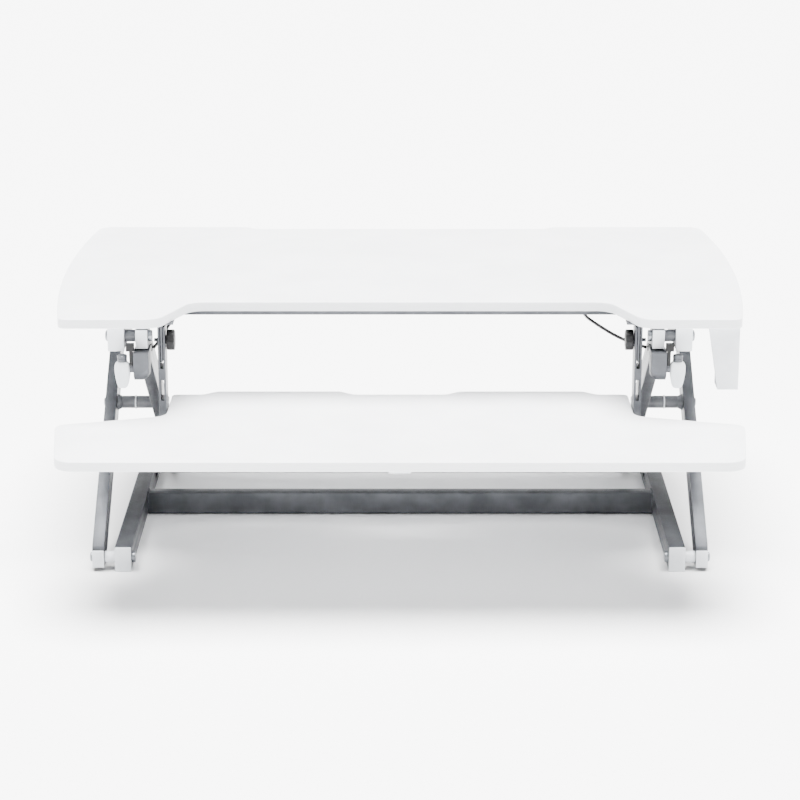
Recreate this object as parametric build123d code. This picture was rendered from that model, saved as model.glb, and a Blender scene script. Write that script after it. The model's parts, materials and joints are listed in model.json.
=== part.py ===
from build123d import *
from math import atan2, cos, hypot, radians, sin, tan
import os

# Standing desk converter. Millimetres, +Z up, front towards -Y.
# The origin is the middle of the footprint box, on the surface that the base stands on.
# Each side pair is drawn at +X and mirrored to -X.

# How far a cutting shape reaches past the material that it cuts
CUT = 1.0

# Scissor linkage
FRONT_PIVOT_Y = -175.0
REAR_AXLE_Y = 315.0
BASE_PIVOT_Z = 20.0
TOP_PIVOT_Z = 371.5
LIFT_DOWN_DEG = 21.0
LIFT_UP_DEG = 12.0
RUN = REAR_AXLE_Y - FRONT_PIVOT_Y
RISE = TOP_PIVOT_Z - BASE_PIVOT_Z
LEG_PITCH = hypot(RUN, RISE)
LEG_SLOPE = atan2(RISE, RUN)
CENTRE_Y = FRONT_PIVOT_Y + RUN / 2
CENTRE_Z = BASE_PIVOT_Z + RISE / 2
AXLE_Y_MIN = FRONT_PIVOT_Y + LEG_PITCH * cos(LEG_SLOPE + radians(LIFT_UP_DEG))
AXLE_Y_MAX = FRONT_PIVOT_Y + LEG_PITCH * cos(LEG_SLOPE - radians(LIFT_DOWN_DEG))

# Rails
RAIL_X = 424.5
RAIL_WIDTH = 25.0
RAIL_HEIGHT = 36.0
RAIL_WALL = 2.0
RAIL_FRONT_Y = -185.0
RAIL_REAR_Y = 423.0
RAIL_INNER_X = RAIL_X - RAIL_WIDTH / 2
RAIL_OUTER_X = RAIL_X + RAIL_WIDTH / 2
AXLE_RADIUS = 7.0
AXLE_END_GAP = 1.0
SLOT_CLEARANCE = 0.6
SLIDER_HALF_LENGTH = 10.0
SLIDE_CLEARANCE = 0.4
CAP_THICKNESS = 4.0
PLUG_CLEARANCE = 0.2
FRONT_PLUG_DEPTH = 4.0
REAR_CAP = 2.0
FRONT_CAP_RISE = 1.0
TOP_CAP_DROP = 3.0
FOOT_PAD_Y = (-170.0, 370.0)
FOOT_PAD_LENGTH = 40.0
FOOT_PAD_INSET = 2.0
BOARD_SCREWS = ((RAIL_X, -120.0), (RAIL_X, 60.0), (RAIL_X, 190.0))

# Legs
LEG_WIDTH = 40.0
LEG_THICKNESS = 18.0
LEG_WALL = 2.0
LEG_OFFSET = 38.0
OUTER_LEG_X = RAIL_X + LEG_OFFSET
INNER_LEG_X = RAIL_X - LEG_OFFSET
LEG_REAR_RADIUS = 16.5
LEG_END_TAPER = 12.0
LEG_SHOULDER = 4.0
LEG_CAP_THICKNESS = 3.0
RUNNING_FIT = 0.05
BUSH_WALL = 2.0
BOLT_RADIUS = 5.0
CENTRE_BOLT_RADIUS = 6.0
BOLT_HEAD_HEIGHT = 4.5
NUT_THICKNESS = 6.0
CENTRE_WASHER = 2.0
CENTRE_CONE = 7.0
FACE_GAP = 0.3
BUTTON_HEAD_RADIUS = 7.5
TOP_HEAD_RADIUS = 8.5
NUT_RADIUS = 8.5
CENTRE_NUT_RADIUS = 9.0
SPACER_RADIUS = 9.0
CENTRE_SPACER_RADIUS = 10.0
CENTRE_WASHER_RADIUS = 11.0
CENTRE_COLLAR_RADIUS = 13.5
SCREW_HEAD_RADIUS = 4.0
SCREW_HEAD_HEIGHT = 2.5
TRAY_SCREW_HEIGHT = 2.0

# Front ends of the legs, measured from the pivot: reach, lowest and highest point
LEG_FRONT_REACH = 10.0
OUTER_FRONT_LOW = -13.5
OUTER_FRONT_HIGH = 13.5
INNER_FRONT_LOW = -21.0
INNER_FRONT_HIGH = 11.5

# Boards
BOARD_THICKNESS = 15.0
DESKTOP_TOP_Z = 404.5
DESKTOP_BOTTOM_Z = DESKTOP_TOP_Z - BOARD_THICKNESS
TRAY_TOP_Z = 252.5
TRAY_BOTTOM_Z = TRAY_TOP_Z - BOARD_THICKNESS

# Cross members
CROSSBAR_FRONT_Y = 81.0
CROSSBAR_DEPTH = 25.0
CROSSBAR_HEIGHT = 35.0
TOP_TUBE_FRONT_Y = -30.0
TOP_TUBE_DEPTH = 25.0
TOP_TUBE_BOTTOM_Z = 366.0
INNER_TUBE_Y = 150.0
INNER_TUBE_RADIUS = 12.5

# Gas springs
SPRING_X = 300.0
CYLINDER_RADIUS = 10.0
CYLINDER_WALL = 1.5
CYLINDER_FRONT_Y = -3.0
CYLINDER_REAR_Y = 213.0
CYLINDER_PLUG = 5.0
GAS_ROD_RADIUS = 4.0
GAS_ROD_LENGTH = 219.0
PISTON_LENGTH = 8.0
PISTON_CLEARANCE = 0.1
CYLINDER_END_WALL = 3.0
EYE_RADIUS = 10.5
EYE_WIDTH = 12.0
EYE_OVERLAP = 2.0
SPRING_PLATE_HALF_WIDTH = 16.0
SPRING_FLANGE_LENGTH = 22.0
SPRING_FLANGE_THICKNESS = 3.0
VALVE_WIDTH = 9.0
VALVE_FRONT_Y = 1.0
VALVE_REAR_Y = 21.0
VALVE_BOTTOM_Z = 358.0
VALVE_TOP_Z = 374.0
VALVE_SEAT_GAP = 0.02

# Tray arms
ARM_FRONT_Y = -170.0
ARM_REAR_Y = -135.0
ARM_STRIP = 3.0
ARM_INNER_X = 353.0
ARM_OUTER_X = 364.0
ARM_TOP_Z = 383.0
HANGER_X = 357.0
HANGER_BOTTOM_Z = 328.0
STUD_RADIUS = 3.0
STUD_Z = 359.0
STUD_OVERHANG = 7.0
TRAY_TRAVEL = 22.0
KNOB_RADIUS = 16.0
KNOB_INNER_X = 339.5
KNOB_OUTER_X = 349.5
STUD_Y = (ARM_FRONT_Y + ARM_REAR_Y) / 2
ARM_BRIDGES = ((TRAY_BOTTOM_Z, 268.0), (300.0, 318.0))
STUD_SLOT_GAP = 0.5
KNOB_NECK_RADIUS = 5.5
HANGER_FLANGE = 17.0
FOOT_INNER_X = 300.0
FOOT_WIDTH = 30.0
FOOT_FRONT_Y = -300.0
FOOT_REAR_Y = -90.0
TRAY_SCREW_Y = (-285.0, -152.0, -105.0)
REST_PAD_Y = -407.0
REST_PAD_WIDTH = 32.0
REST_PAD_DEPTH = 30.0
REST_PAD_THICKNESS = 3.0

# Headset hook
HOOK_INNER_X = 477.0
HOOK_OUTER_X = 508.0
HOOK_TOP_INNER_X = 461.0
HOOK_FLANGE_INNER_X = 466.0
HOOK_FRONT_Y = -185.0
HOOK_REAR_Y = -146.0
HOOK_BOTTOM_Z = 290.0
HOOK_PLATE = 7.0
HOOK_WALL = 4.0
HOOK_LIP_HEIGHT = 15.0
HOOK_FLANGE_THICKNESS = 3.0

# Release lever
LEVER_Y = -195.0
LEVER_Z = 327.0
LEVER_TUBE_RADIUS = 7.0
LEVER_PIN_RADIUS = 3.0
PADDLE_X0 = 403.0
PADDLE_X1 = 427.0
PADDLE_BOTTOM_Z = 296.0
PADDLE_WAIST_Z = 303.0
PADDLE_SHOULDER_Z = 334.0
PADDLE_TOP_Z = 337.0
PADDLE_CHAMFER = 3.0
PADDLE_TAPER = 4.0
PADDLE_THICKNESS = 12.0
COLLAR_RADIUS = 7.5
COLLAR_TOP_Z = 347.0
CRANK_THICKNESS = 3.0
CRANK_GAP = 1.5
CRANK_OUTLINE = [(-200, 330), (-199, 344), (-193, 360), (-183, 360), (-186, 345), (-190, 330)]
BRACKET_FRONT_Y = -204.0
BRACKET_CHEEK = 2.5
BRACKET_OUTLINE = [(-204, 352), (-204, 313), (-176, 303), (-146, 340), (-152, 352)]
BRACKET_POCKET = [(-201, 345), (-201, 318), (-176, 308), (-158, 330)]
CAP_ROOM_TOP_Z = 360.0
PIN_BORE_START = 6.0
PIN_BORE_REACH = 10.0
RETURN_SPRING_TURNS = 3
RETURN_SPRING_PITCH = 2.4
RETURN_SPRING_OFFSET = 4.0
RETURN_SPRING_WIRE_RADIUS = 1.0
RETURN_SPRING_GAP = 0.5

# Cable
CABLE_DIAMETER = 5.0
BEND_SHARE = 0.45
GROMMET_RADIUS = 6.0
GROMMET_BORE_RADIUS = 3.0
GROMMET_THICKNESS = 1.5
CABLE_ROUTE_RIGHT = [
    (287.0, 0.5, 362.5),
    (289.0, -20.0, 361.0),
    (297.0, -44.0, 360.0),
    (309.0, -66.0, 356.5),
    (324.0, -85.0, 351.0),
    (341.0, -100.0, 345.5),
    (357.0, -113.0, 342.0),
    (373.5, -129.0, 341.0),
]
CABLE_ROUTE_LEFT = [
    (-285.5, 21.5, 366.5),
    (-283.0, 40.0, 373.0),
    (-286.0, 56.0, 382.0),
    (-297.0, 66.0, 386.5),
    (-313.0, 64.0, 386.0),
    (-329.0, 50.0, 380.0),
    (-341.0, 26.0, 369.0),
    (-349.0, -8.0, 361.0),
    (-355.0, -42.0, 358.0),
    (-360.0, -74.0, 353.5),
    (-365.5, -103.0, 346.5),
    (-373.5, -129.0, 341.0),
]


def box(x0, x1, y0, y1, z0, z1):
    centre = Pos((x0 + x1) / 2, (y0 + y1) / 2, (z0 + z1) / 2)
    return centre * Box(x1 - x0, y1 - y0, z1 - z0)


def rod_x(x0, x1, y, z, radius):
    return Pos((x0 + x1) / 2, y, z) * Rot(0, 90, 0) * Cylinder(radius, x1 - x0)


def rod_y(y0, y1, x, z, radius):
    return Pos(x, (y0 + y1) / 2, z) * Rot(90, 0, 0) * Cylinder(radius, y1 - y0)


def rod_z(z0, z1, x, y, radius):
    return Pos(x, y, (z0 + z1) / 2) * Cylinder(radius, z1 - z0)


def ring_x(x0, x1, y, z, outer, inner):
    return rod_x(x0, x1, y, z, outer) - rod_x(x0 - CUT, x1 + CUT, y, z, inner)


def side_face(points):
    return Plane.YZ * Polygon(*points, align=None)


def extrude_x(face, x0, x1):
    return extrude(Pos(x0, 0, 0) * face, amount=x1 - x0, dir=(1, 0, 0))


def mirrored(shape):
    return mirror(shape, Plane.YZ)


def save(name, *shapes):
    solids = []
    for shape in shapes:
        solids.extend(shape.solids())
    whole = solids[0] if len(solids) == 1 else Compound(children=solids)
    export_step(whole, os.path.join("parts", name + ".step"))


def save_sides(name, shape):
    save(name + "_right", shape)
    save(name + "_left", mirrored(shape))


def save_group(name, *shapes):
    save(name, *shapes, *[mirrored(shape) for shape in shapes])


# Extrudes a closed outline and rounds the named corners, which are mirrored in X.
def board(outline, corner_radii, bottom_z):
    face = make_face(outline)
    for (x, y), radius in corner_radii.items():
        for side in (1, -1):
            corner = Vector(side * x, y, 0)
            vertex = min(face.vertices(), key=lambda v: (Vector(v.X, v.Y, v.Z) - corner).length)
            face = fillet(vertex, radius)
    return extrude(Pos(0, 0, bottom_z) * face, amount=BOARD_THICKNESS, dir=(0, 0, 1))


def flip(points):
    return [(-x, y) for x, y in reversed(points)]


def make_boards():
    recess = (318, -100)
    wing = (360, -205)
    front_corner = (508, -205)
    side_bulge = (533.5, 125)
    back_corner = (513, 425)
    back_recess_outer = (262, 425)
    back_recess_inner = (247, 410)
    front = [recess, wing, front_corner]
    back = [back_corner, back_recess_outer, back_recess_inner]
    outline = Polyline(*flip(front), *front)
    outline += ThreePointArc(front_corner, side_bulge, back_corner)
    outline += Polyline(*back, *flip(back))
    outline += ThreePointArc((-back_corner[0], back_corner[1]), (-side_bulge[0], side_bulge[1]),
                             (-front_corner[0], front_corner[1]))
    radii = {recess: 30, wing: 30, front_corner: 12, back_corner: 25,
             back_recess_outer: 20, back_recess_inner: 20}
    save("desktop_board", board(outline, radii, DESKTOP_BOTTOM_Z))

    front_outer = (491, -425)
    ear = (513, -243)
    ear_inner = (448, -226)
    waist_front = (352, -196)
    waist_back = (352, -81)
    bulge = [(304, -81), (284, -64), (92, -64), (72, -81)]
    half = [front_outer, ear, ear_inner, waist_front, waist_back, *bulge]
    outline = Polyline(*half, *flip(half), half[0])
    radii = {front_outer: 28, ear: 20, ear_inner: 40, waist_front: 24, waist_back: 8}
    radii.update({corner: 12 for corner in bulge})
    save("keyboard_tray_board", board(outline, radii, TRAY_BOTTOM_Z))


# Square-cornered tube with the bore of its front bolt.
def rail_tube(centre_z):
    low, high = centre_z - RAIL_HEIGHT / 2, centre_z + RAIL_HEIGHT / 2
    outer = box(RAIL_INNER_X, RAIL_OUTER_X, RAIL_FRONT_Y, RAIL_REAR_Y, low, high)
    inner = box(RAIL_INNER_X + RAIL_WALL, RAIL_OUTER_X - RAIL_WALL, RAIL_FRONT_Y - CUT,
                RAIL_REAR_Y + CUT, low + RAIL_WALL, high - RAIL_WALL)
    bore = rod_x(RAIL_INNER_X - CUT, RAIL_OUTER_X + CUT, FRONT_PIVOT_Y, centre_z, BOLT_RADIUS + RUNNING_FIT)
    return outer - inner - bore


def rail_slot(x0, x1, centre_z):
    reach = AXLE_RADIUS + SLOT_CLEARANCE
    return box(x0, x1, AXLE_Y_MIN - reach, AXLE_Y_MAX + reach, centre_z - reach, centre_z + reach)


# Front end cap: a plate over the rail's end with a plug inside it.
def front_cap(centre_z, low, high):
    plate = box(RAIL_INNER_X, RAIL_OUTER_X, RAIL_FRONT_Y - CAP_THICKNESS, RAIL_FRONT_Y, low, high)
    margin = RAIL_WALL + PLUG_CLEARANCE
    plug = box(RAIL_INNER_X + margin, RAIL_OUTER_X - margin, RAIL_FRONT_Y, RAIL_FRONT_Y + FRONT_PLUG_DEPTH,
               centre_z - RAIL_HEIGHT / 2 + margin, centre_z + RAIL_HEIGHT / 2 - margin)
    return plate + plug


def rear_cap(low, high):
    return box(RAIL_INNER_X, RAIL_OUTER_X, RAIL_REAR_Y, RAIL_REAR_Y + REAR_CAP, low, high)


def slider(centre_z, axle_y):
    half_x = RAIL_WIDTH / 2 - RAIL_WALL - SLIDE_CLEARANCE
    half_z = RAIL_HEIGHT / 2 - RAIL_WALL - SLIDE_CLEARANCE
    block = box(RAIL_X - half_x, RAIL_X + half_x, axle_y - SLIDER_HALF_LENGTH,
                axle_y + SLIDER_HALF_LENGTH, centre_z - half_z, centre_z + half_z)
    return block - rod_x(RAIL_INNER_X, RAIL_OUTER_X, axle_y, centre_z, AXLE_RADIUS + RUNNING_FIT)


# Rectangular tube between the two rails of a pair.
def cross_tube(front_y, depth, low, high):
    rear_y = front_y + depth
    tube = box(-RAIL_INNER_X, RAIL_INNER_X, front_y, rear_y, low, high)
    return tube - box(-RAIL_INNER_X - CUT, RAIL_INNER_X + CUT, front_y + RAIL_WALL, rear_y - RAIL_WALL,
                      low + RAIL_WALL, high - RAIL_WALL)


def make_base():
    rail = rail_tube(BASE_PIVOT_Z)
    rail -= rail_slot(RAIL_INNER_X - CUT, RAIL_INNER_X + RAIL_WALL + CUT, BASE_PIVOT_Z)
    save_sides("base_rail", rail)

    low = BASE_PIVOT_Z - RAIL_HEIGHT / 2
    save("base_crossbar", cross_tube(CROSSBAR_FRONT_Y, CROSSBAR_DEPTH, low, low + CROSSBAR_HEIGHT))

    rail_top = BASE_PIVOT_Z + RAIL_HEIGHT / 2
    save_group("base_front_caps", front_cap(BASE_PIVOT_Z, 0, rail_top + FRONT_CAP_RISE))
    save_group("base_rear_caps", rear_cap(low, rail_top))

    pads = []
    for y0 in FOOT_PAD_Y:
        pads.append(box(RAIL_INNER_X + FOOT_PAD_INSET, RAIL_OUTER_X - FOOT_PAD_INSET,
                        y0, y0 + FOOT_PAD_LENGTH, 0, low))
    save_group("base_foot_pads", *pads)

    leg_inner = OUTER_LEG_X - LEG_THICKNESS / 2
    leg_outer = OUTER_LEG_X + LEG_THICKNESS / 2
    nut_x = RAIL_INNER_X - NUT_THICKNESS
    shaft = rod_x(nut_x, leg_outer + FACE_GAP, FRONT_PIVOT_Y, BASE_PIVOT_Z, BOLT_RADIUS)
    head = rod_x(leg_outer + FACE_GAP, leg_outer + BOLT_HEAD_HEIGHT, FRONT_PIVOT_Y, BASE_PIVOT_Z,
                 BUTTON_HEAD_RADIUS)
    save_group("base_pivot_bolts", shaft + head)
    nut = ring_x(nut_x, RAIL_INNER_X, FRONT_PIVOT_Y, BASE_PIVOT_Z, NUT_RADIUS, BOLT_RADIUS + RUNNING_FIT)
    save_group("base_pivot_nuts", nut)
    spacer = ring_x(RAIL_OUTER_X, leg_inner - FACE_GAP, FRONT_PIVOT_Y, BASE_PIVOT_Z, SPACER_RADIUS,
                    BOLT_RADIUS + RUNNING_FIT)
    save_group("base_pivot_spacers", spacer)
    save_group("lower_sliders", slider(BASE_PIVOT_Z, REAR_AXLE_Y))


# Side outline of one leg at rest: a flat front end in front of its pivot and a round rear end.
# climb is +1 for the leg that rises to the rear and -1 for the leg that falls to the rear.
def leg_outline(pivot_z, climb, front_low, front_high):
    def at(u, v):
        y = FRONT_PIVOT_Y + u * cos(LEG_SLOPE) - climb * v * sin(LEG_SLOPE)
        z = pivot_z + climb * u * sin(LEG_SLOPE) + v * cos(LEG_SLOPE)
        return (0, y, z)

    def by_front(dy, dz):
        return (0, FRONT_PIVOT_Y + dy, pivot_z + dz)

    half = LEG_WIDTH / 2
    rise = climb * tan(LEG_SLOPE)
    edge = half / cos(LEG_SLOPE)
    low = max(front_low, -LEG_FRONT_REACH * rise - edge)
    if climb > 0:
        shoulder_y = LEG_SHOULDER - LEG_FRONT_REACH
        top_corner = by_front(shoulder_y, shoulder_y * rise + edge)
    else:
        top_corner = by_front((front_high - edge) / rise, front_high)
    chain = [by_front(-LEG_FRONT_REACH, low), by_front(-LEG_FRONT_REACH, front_high), top_corner,
             at(LEG_PITCH - LEG_END_TAPER, half), at(LEG_PITCH, LEG_REAR_RADIUS)]
    tail = [at(LEG_PITCH, -LEG_REAR_RADIUS), at(LEG_PITCH - LEG_END_TAPER, -half)]
    if climb > 0:
        tail.append(by_front((front_low + edge) / rise, front_low))
    outline = Polyline(*chain)
    outline += ThreePointArc(chain[-1], at(LEG_PITCH + LEG_REAR_RADIUS, 0), tail[0])
    outline += Polyline(*tail, chain[0])
    front = (FRONT_PIVOT_Y - LEG_FRONT_REACH, pivot_z + low, pivot_z + front_high)
    return make_face(outline), front


# Hollow leg, open at its front end. bores are (y, z, radius) through both side walls.
def leg_tube(outline, front, leg_x, bores):
    x0 = leg_x - LEG_THICKNESS / 2
    x1 = leg_x + LEG_THICKNESS / 2
    front_y, front_bottom, front_top = front
    hollow = extrude_x(offset(outline, -LEG_WALL), x0 + LEG_WALL, x1 - LEG_WALL)
    mouth = box(x0 + LEG_WALL, x1 - LEG_WALL, front_y - CUT, front_y + 2 * LEG_WALL,
                front_bottom + LEG_WALL, front_top - LEG_WALL)
    leg = extrude_x(outline, x0, x1) - hollow - mouth
    for y, z, radius in bores:
        leg -= rod_x(x0 - CUT, x1 + CUT, y, z, radius + RUNNING_FIT)
    return leg


def leg_cap(front, leg_x):
    front_y, low, high = front
    x0 = leg_x - LEG_THICKNESS / 2
    x1 = leg_x + LEG_THICKNESS / 2
    margin = LEG_WALL + PLUG_CLEARANCE
    plate = box(x0, x1, front_y - LEG_CAP_THICKNESS, front_y, low, high)
    plug = box(x0 + margin, x1 - margin, front_y, front_y + LEG_WALL, low + margin, high - margin)
    return plate + plug


def leg_bush(leg_x, y, z, bore):
    half = LEG_THICKNESS / 2
    return ring_x(leg_x - half, leg_x + half, y, z, bore + BUSH_WALL, bore + RUNNING_FIT)


def make_outer_legs():
    outline, front = leg_outline(BASE_PIVOT_Z, 1, OUTER_FRONT_LOW, OUTER_FRONT_HIGH)
    bores = [(FRONT_PIVOT_Y, BASE_PIVOT_Z, BOLT_RADIUS + BUSH_WALL),
             (CENTRE_Y, CENTRE_Z, CENTRE_BOLT_RADIUS),
             (REAR_AXLE_Y, TOP_PIVOT_Z, AXLE_RADIUS)]
    save_sides("outer_leg", leg_tube(outline, front, OUTER_LEG_X, bores))
    save_group("outer_leg_caps", leg_cap(front, OUTER_LEG_X))
    save_group("outer_leg_bushes", leg_bush(OUTER_LEG_X, FRONT_PIVOT_Y, BASE_PIVOT_Z, BOLT_RADIUS))
    reach = OUTER_LEG_X + LEG_THICKNESS / 2
    save("upper_rear_axle", rod_x(-reach, reach, REAR_AXLE_Y, TOP_PIVOT_Z, AXLE_RADIUS))

    leg_outer = OUTER_LEG_X + LEG_THICKNESS / 2
    leg_inner = OUTER_LEG_X - LEG_THICKNESS / 2
    far_face = INNER_LEG_X - LEG_THICKNESS / 2
    near_face = INNER_LEG_X + LEG_THICKNESS / 2
    nut_x = far_face - FACE_GAP - NUT_THICKNESS
    shaft = rod_x(nut_x, leg_outer, CENTRE_Y, CENTRE_Z, CENTRE_BOLT_RADIUS)
    head = rod_x(leg_outer, leg_outer + BOLT_HEAD_HEIGHT, CENTRE_Y, CENTRE_Z, BUTTON_HEAD_RADIUS)
    save_group("centre_bolts", shaft + head)
    bore = CENTRE_BOLT_RADIUS + RUNNING_FIT
    save_group("centre_nuts",
               ring_x(nut_x, far_face - FACE_GAP, CENTRE_Y, CENTRE_Z, CENTRE_NUT_RADIUS, bore))
    washer_half = CENTRE_WASHER / 2
    cone_x = leg_inner - CENTRE_CONE
    inner_half = ring_x(near_face + FACE_GAP, RAIL_X - washer_half, CENTRE_Y, CENTRE_Z,
                        CENTRE_SPACER_RADIUS, bore)
    outer_half = ring_x(RAIL_X + washer_half, cone_x, CENTRE_Y, CENTRE_Z, CENTRE_SPACER_RADIUS, bore)
    save_group("centre_spacers", inner_half, outer_half)
    save_group("centre_washers",
               ring_x(RAIL_X - washer_half, RAIL_X + washer_half, CENTRE_Y, CENTRE_Z,
                      CENTRE_WASHER_RADIUS, bore))
    cone_centre = Pos((cone_x + leg_inner) / 2, CENTRE_Y, CENTRE_Z)
    cone = cone_centre * Rot(0, 90, 0) * Cone(CENTRE_SPACER_RADIUS, CENTRE_COLLAR_RADIUS, CENTRE_CONE)
    save_group("centre_collars", cone - rod_x(cone_x - CUT, leg_inner + CUT, CENTRE_Y, CENTRE_Z, bore))


def make_inner_legs():
    outline, front = leg_outline(TOP_PIVOT_Z, -1, INNER_FRONT_LOW, INNER_FRONT_HIGH)
    x0 = INNER_LEG_X - LEG_THICKNESS / 2
    x1 = INNER_LEG_X + LEG_THICKNESS / 2
    bores = [(FRONT_PIVOT_Y, TOP_PIVOT_Z, BOLT_RADIUS + BUSH_WALL),
             (CENTRE_Y, CENTRE_Z, CENTRE_BOLT_RADIUS + BUSH_WALL),
             (REAR_AXLE_Y, BASE_PIVOT_Z, AXLE_RADIUS)]
    save_sides("inner_leg", leg_tube(outline, front, INNER_LEG_X, bores))
    save_group("inner_leg_caps", leg_cap(front, INNER_LEG_X))
    save_group("inner_leg_bushes",
               leg_bush(INNER_LEG_X, FRONT_PIVOT_Y, TOP_PIVOT_Z, BOLT_RADIUS),
               leg_bush(INNER_LEG_X, CENTRE_Y, CENTRE_Z, CENTRE_BOLT_RADIUS))
    reach = RAIL_OUTER_X - RAIL_WALL - AXLE_END_GAP
    save("lower_rear_axle", rod_x(-reach, reach, REAR_AXLE_Y, BASE_PIVOT_Z, AXLE_RADIUS))
    tube_z = TOP_PIVOT_Z - (INNER_TUBE_Y - FRONT_PIVOT_Y) * tan(LEG_SLOPE)
    tube = rod_x(-x0, x0, INNER_TUBE_Y, tube_z, INNER_TUBE_RADIUS)
    tube -= rod_x(-x0 - CUT, x0 + CUT, INNER_TUBE_Y, tube_z, INNER_TUBE_RADIUS - LEG_WALL)
    save("inner_cross_tube", tube)

    bracket = extrude_x(side_face(BRACKET_OUTLINE), x0 - BRACKET_CHEEK, x1 + BRACKET_CHEEK)
    bracket -= extrude_x(offset(outline, FACE_GAP), x0 - FACE_GAP, x1 + FACE_GAP)
    bracket -= box(x0 - FACE_GAP, x1 + FACE_GAP, BRACKET_FRONT_Y - CUT, FRONT_PIVOT_Y,
                   front[1] - FACE_GAP, CAP_ROOM_TOP_Z)
    bracket -= extrude_x(side_face(BRACKET_POCKET), x0 + LEG_WALL, x1 - LEG_WALL)
    bracket -= rod_x(x0 + PIN_BORE_START, x1 + PIN_BORE_REACH, LEVER_Y, LEVER_Z,
                     LEVER_PIN_RADIUS + RUNNING_FIT)
    save_group("lever_brackets", bracket)

    cable_y, cable_z = CABLE_ROUTE_RIGHT[-1][1:]
    grommet = ring_x(x0 - GROMMET_THICKNESS, x0, cable_y, cable_z, GROMMET_RADIUS, GROMMET_BORE_RADIUS)
    save_group("cable_grommets", grommet)


# Release lever: a hanging paddle on a short cross tube, with the crank that pulls the cable.
def make_levers():
    bracket_face = INNER_LEG_X + LEG_THICKNESS / 2 + BRACKET_CHEEK
    tube = rod_x(bracket_face + FACE_GAP, PADDLE_X0, LEVER_Y, LEVER_Z, LEVER_TUBE_RADIUS)
    pin = rod_x(INNER_LEG_X, bracket_face + FACE_GAP, LEVER_Y, LEVER_Z, LEVER_PIN_RADIUS)
    crank_x = bracket_face + CRANK_GAP
    crank = extrude_x(side_face(CRANK_OUTLINE), crank_x, crank_x + CRANK_THICKNESS)
    save_sides("lever_crank", tube + pin + crank)

    middle = (PADDLE_X0 + PADDLE_X1) / 2
    corners = [(PADDLE_X0, PADDLE_SHOULDER_Z), (PADDLE_X0 + PADDLE_CHAMFER, PADDLE_TOP_Z),
               (PADDLE_X1 - PADDLE_CHAMFER, PADDLE_TOP_Z), (PADDLE_X1, PADDLE_SHOULDER_Z),
               (PADDLE_X1 - PADDLE_TAPER, PADDLE_WAIST_Z), (middle + PADDLE_TAPER, PADDLE_BOTTOM_Z),
               (middle - PADDLE_TAPER, PADDLE_BOTTOM_Z), (PADDLE_X0 + PADDLE_TAPER, PADDLE_WAIST_Z)]
    face = Plane.XZ * Polygon(*corners, align=None)
    paddle = extrude(Pos(0, LEVER_Y - PADDLE_THICKNESS / 2, 0) * face, amount=PADDLE_THICKNESS, dir=(0, 1, 0))
    paddle += rod_z(PADDLE_TOP_Z, COLLAR_TOP_Z, middle, LEVER_Y, COLLAR_RADIUS)
    save_sides("lever_grip", paddle)

    rings = []
    ring_radius = LEVER_PIN_RADIUS + RETURN_SPRING_GAP + RETURN_SPRING_WIRE_RADIUS
    for turn in range(RETURN_SPRING_TURNS):
        x = INNER_LEG_X - RETURN_SPRING_OFFSET + RETURN_SPRING_PITCH * turn
        ring = Torus(ring_radius, RETURN_SPRING_WIRE_RADIUS)
        rings.append(Pos(x, LEVER_Y, LEVER_Z) * Rot(0, 90, 0) * ring)
    save_group("lever_return_springs", *rings)


def make_top_frame():
    rail = rail_tube(TOP_PIVOT_Z)
    rail -= rail_slot(RAIL_INNER_X - CUT, RAIL_OUTER_X + CUT, TOP_PIVOT_Z)
    save_sides("top_rail", rail)
    low = TOP_PIVOT_Z - RAIL_HEIGHT / 2
    save_group("top_rail_front_caps", front_cap(TOP_PIVOT_Z, low - TOP_CAP_DROP, DESKTOP_BOTTOM_Z))
    save_group("top_rail_rear_caps", rear_cap(low, DESKTOP_BOTTOM_Z))
    save("top_front_tube",
         cross_tube(TOP_TUBE_FRONT_Y, TOP_TUBE_DEPTH, TOP_TUBE_BOTTOM_Z, DESKTOP_BOTTOM_Z))

    near_face = INNER_LEG_X + LEG_THICKNESS / 2
    far_face = INNER_LEG_X - LEG_THICKNESS / 2
    nut_x = far_face - FACE_GAP - NUT_THICKNESS
    bore = BOLT_RADIUS + RUNNING_FIT
    shaft = rod_x(nut_x, RAIL_OUTER_X, FRONT_PIVOT_Y, TOP_PIVOT_Z, BOLT_RADIUS)
    head = rod_x(RAIL_OUTER_X, RAIL_OUTER_X + BOLT_HEAD_HEIGHT, FRONT_PIVOT_Y, TOP_PIVOT_Z, TOP_HEAD_RADIUS)
    save_group("top_pivot_bolts", shaft + head)
    save_group("top_pivot_nuts",
               ring_x(nut_x, far_face - FACE_GAP, FRONT_PIVOT_Y, TOP_PIVOT_Z, NUT_RADIUS, bore))
    save_group("top_pivot_spacers",
               ring_x(near_face + FACE_GAP, RAIL_INNER_X, FRONT_PIVOT_Y, TOP_PIVOT_Z, SPACER_RADIUS, bore))

    screws = []
    seat = DESKTOP_BOTTOM_Z - RAIL_WALL
    for x, y in BOARD_SCREWS:
        screws.append(rod_z(seat - SCREW_HEAD_HEIGHT, seat, x, y, SCREW_HEAD_RADIUS))
    save_group("desktop_screws", *screws)


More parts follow.
